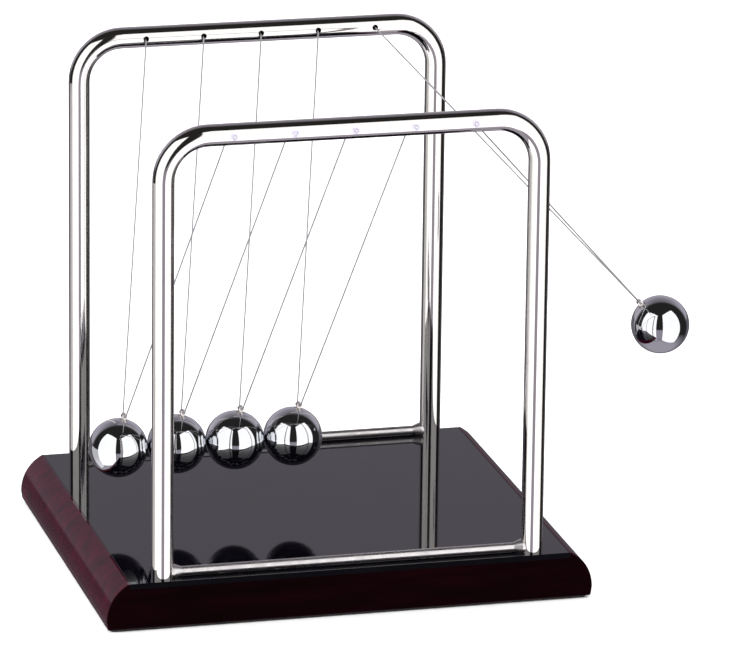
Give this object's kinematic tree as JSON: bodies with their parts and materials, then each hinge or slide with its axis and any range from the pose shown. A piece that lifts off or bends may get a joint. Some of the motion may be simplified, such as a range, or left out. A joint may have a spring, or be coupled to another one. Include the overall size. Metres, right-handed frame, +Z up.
{
  "type": "newtons cradle",
  "caption": "Desk pendulum toy: polished balls hang on V-shaped lines between two bent tube frames that stand on a wooden base with a glossy black top.",
  "frame": {"origin": "middle of the underside, on the surface that the cradle stands on", "axes": "+X along the row of balls, towards the ball that is lifted, +Y from the front frame to the rear frame, +Z up"},
  "size_m": [0.2402, 0.155, 0.1855],
  "materials": {
    "base_wood": "high gloss lacquer over dark red stain",
    "plate_black": "polished, mirror-like",
    "felt_black": "thin pressed felt",
    "frame_chrome": "bright chrome plate",
    "tie_chrome": "bright chrome plate over braze",
    "insert_brass": "turned",
    "screw_steel": "zinc plated",
    "washer_steel": "zinc plated",
    "plug_nylon": "moulded, slightly satin",
    "ball_steel": "mirror polished and plated",
    "eye_steel": "brazed on, slightly dull",
    "line_nylon": "clear drawn monofilament"
  },
  "bodies": {
    "stand": {"base_block": "base_wood", "top_plate": "plate_black", "underside_felt": "felt_black", "front_frame": "frame_chrome", "rear_frame": "frame_chrome", "front_tie_bar": "tie_chrome", "rear_tie_bar": "tie_chrome", "leg_inserts": "insert_brass", "leg_screws": "screw_steel", "leg_washers": "washer_steel", "front_line_plugs": "plug_nylon", "rear_line_plugs": "plug_nylon"},
    "ball_1": {"ball_1": "ball_steel", "ball_eye_1": "eye_steel", "line_1": "line_nylon"},
    "ball_2": {"ball_2": "ball_steel", "ball_eye_2": "eye_steel", "line_2": "line_nylon"},
    "ball_3": {"ball_3": "ball_steel", "ball_eye_3": "eye_steel", "line_3": "line_nylon"},
    "ball_4": {"ball_4": "ball_steel", "ball_eye_4": "eye_steel", "line_4": "line_nylon"},
    "ball_5": {"ball_5": "ball_steel", "ball_eye_5": "eye_steel", "line_5": "line_nylon"}
  },
  "joints": [
    {"name": "ball_1_swing", "type": "hinge", "parent": "stand", "child": "ball_1", "pos_m": [-0.0442, 0, 0.1815], "axis": [0, -1, 0], "range_deg": [-49.5, 10.5]},
    {"name": "ball_2_swing", "type": "hinge", "parent": "stand", "child": "ball_2", "pos_m": [-0.0221, 0, 0.1815], "axis": [0, -1, 0], "range_deg": [-49.5, 10.5]},
    {"name": "ball_3_swing", "type": "hinge", "parent": "stand", "child": "ball_3", "pos_m": [0, 0, 0.1815], "axis": [0, -1, 0], "range_deg": [-49.5, 10.5]},
    {"name": "ball_4_swing", "type": "hinge", "parent": "stand", "child": "ball_4", "pos_m": [0.0221, 0, 0.1815], "axis": [0, -1, 0], "range_deg": [-49.5, 10.5]},
    {"name": "ball_5_swing", "type": "hinge", "parent": "stand", "child": "ball_5", "pos_m": [0.0442, 0, 0.1815], "axis": [0, -1, 0], "range_deg": [-42.5, 47.5]}
  ],
  "couplings": [
    {"joint": "ball_2_swing", "follows": "ball_1_swing", "ratio": 1},
    {"joint": "ball_3_swing", "follows": "ball_1_swing", "ratio": 1},
    {"joint": "ball_4_swing", "follows": "ball_1_swing", "ratio": 1}
  ]
}
